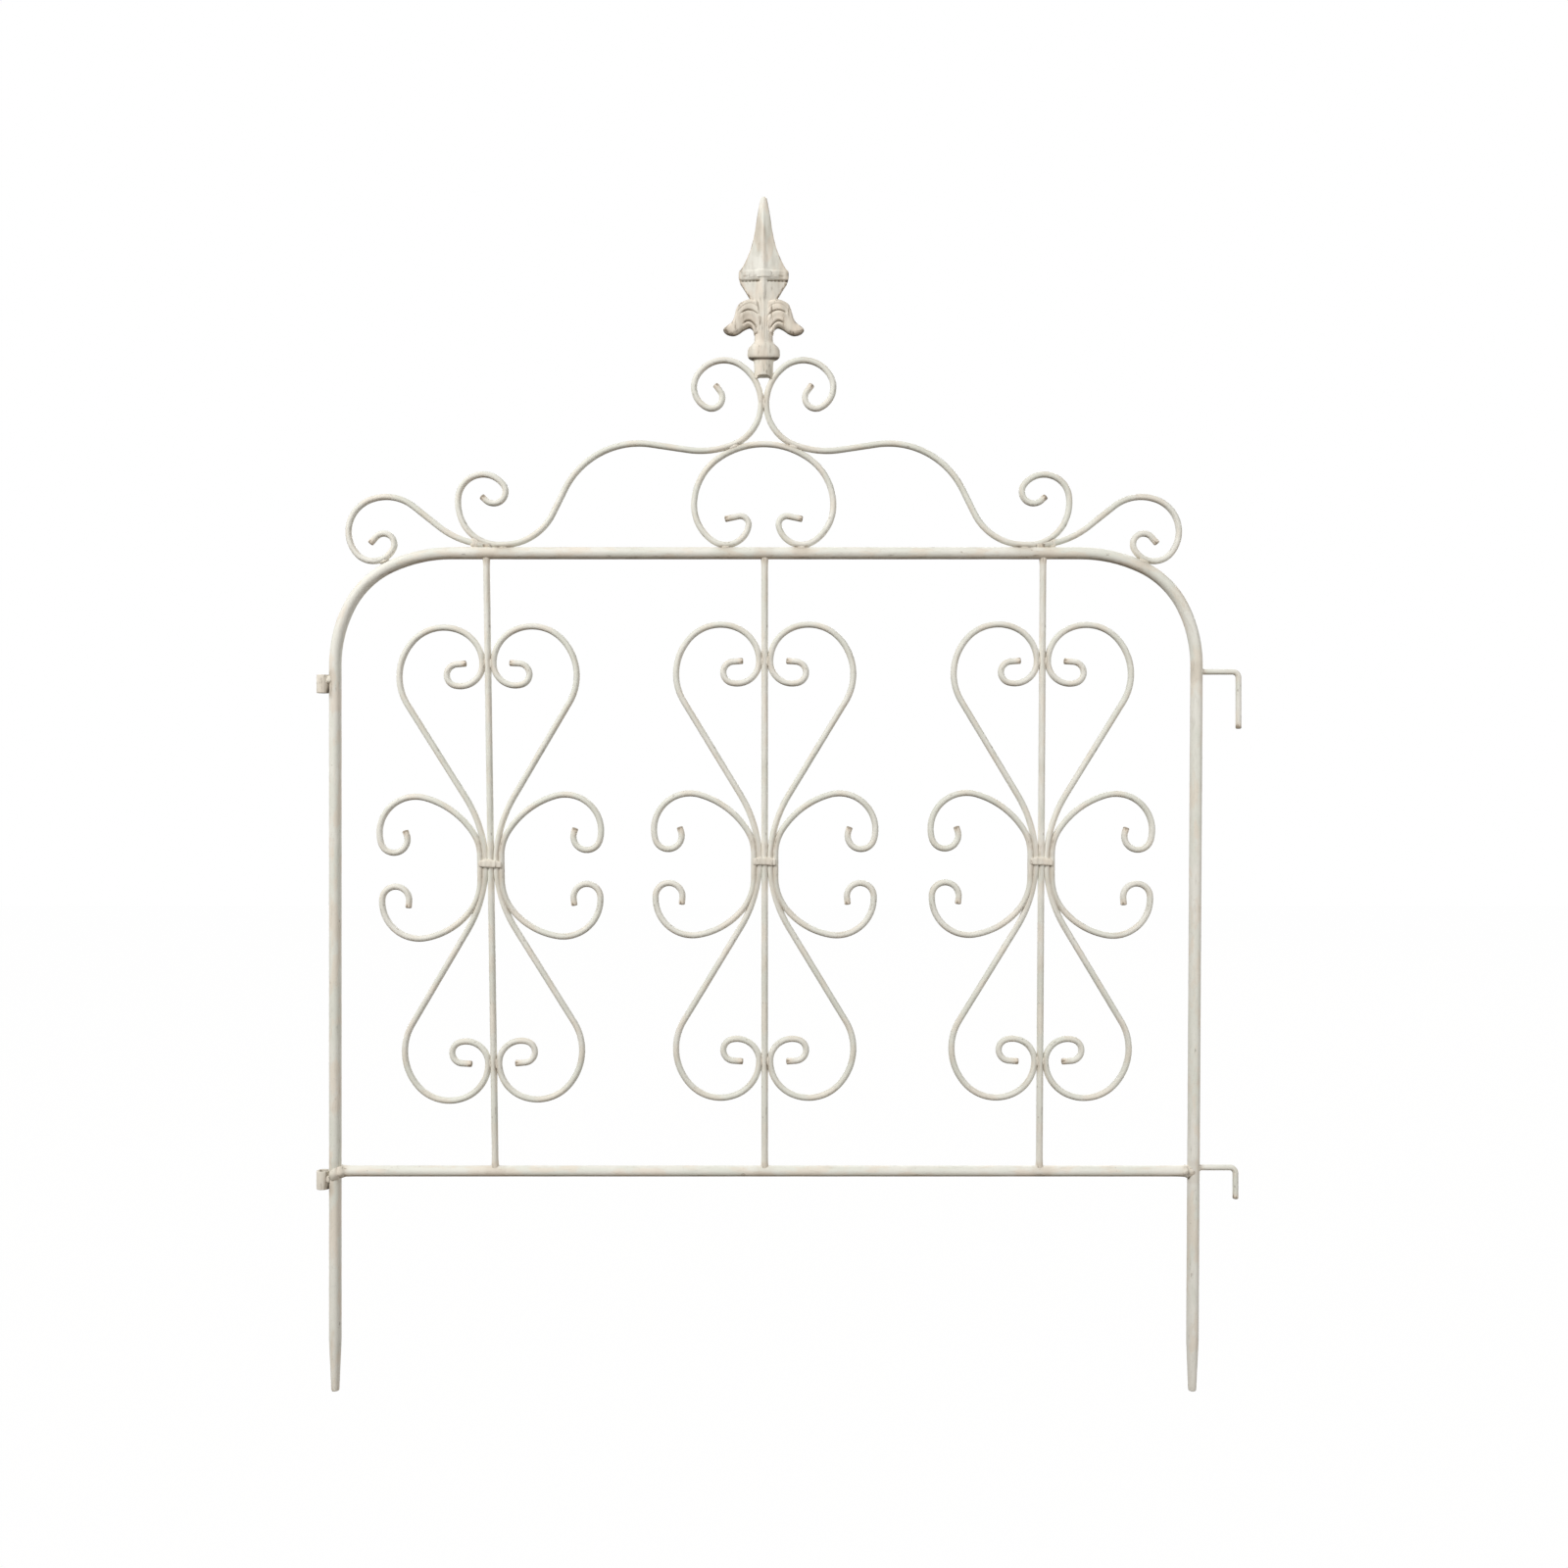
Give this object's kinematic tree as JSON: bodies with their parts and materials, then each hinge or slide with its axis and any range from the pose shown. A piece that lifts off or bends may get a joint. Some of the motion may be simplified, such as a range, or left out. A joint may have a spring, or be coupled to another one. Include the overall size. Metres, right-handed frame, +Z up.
{
  "type": "expandable metal garden fence panel",
  "caption": "Wire scrollwork garden fence panel in a bent tube hoop with pointed legs, a scrolled crest with a cast spear finial, and hinge sleeves and drop pins at its sides.",
  "frame": {"origin": "centre of the flat face under the tip of the left leg", "axes": "+X towards the right leg, -Y out of the front of the panel, +Z up"},
  "size_m": [0.9433, 0.017, 1.2184],
  "materials": {
    "painted_tube": "distressed cream paint, satin, rubbed grey brown at edges and welds",
    "painted_wire": "distressed cream paint, satin, rubbed grey brown at edges and welds",
    "painted_casting": "distressed cream paint over a slightly rough casting"
  },
  "bodies": {
    "root": {"hoop": "painted_tube", "bottom_rail": "painted_tube", "left_bay_upright": "painted_wire", "left_bay_heart_left": "painted_wire", "left_bay_heart_right": "painted_wire", "left_bay_scroll_left": "painted_wire", "left_bay_scroll_right": "painted_wire", "left_bay_collar": "painted_wire", "middle_bay_upright": "painted_wire", "middle_bay_heart_left": "painted_wire", "middle_bay_heart_right": "painted_wire", "middle_bay_scroll_left": "painted_wire", "middle_bay_scroll_right": "painted_wire", "middle_bay_collar": "painted_wire", "right_bay_upright": "painted_wire", "right_bay_heart_left": "painted_wire", "right_bay_heart_right": "painted_wire", "right_bay_scroll_left": "painted_wire", "right_bay_scroll_right": "painted_wire", "right_bay_collar": "painted_wire", "crest_horseshoe": "painted_wire", "crest_wire_left": "painted_wire", "crest_wire_right": "painted_wire", "outer_scroll_left": "painted_wire", "outer_scroll_right": "painted_wire", "finial": "painted_casting", "upper_socket": "painted_wire", "lower_socket": "painted_wire", "upper_drop_pin": "painted_wire", "lower_drop_pin": "painted_wire"}
  },
  "joints": []
}
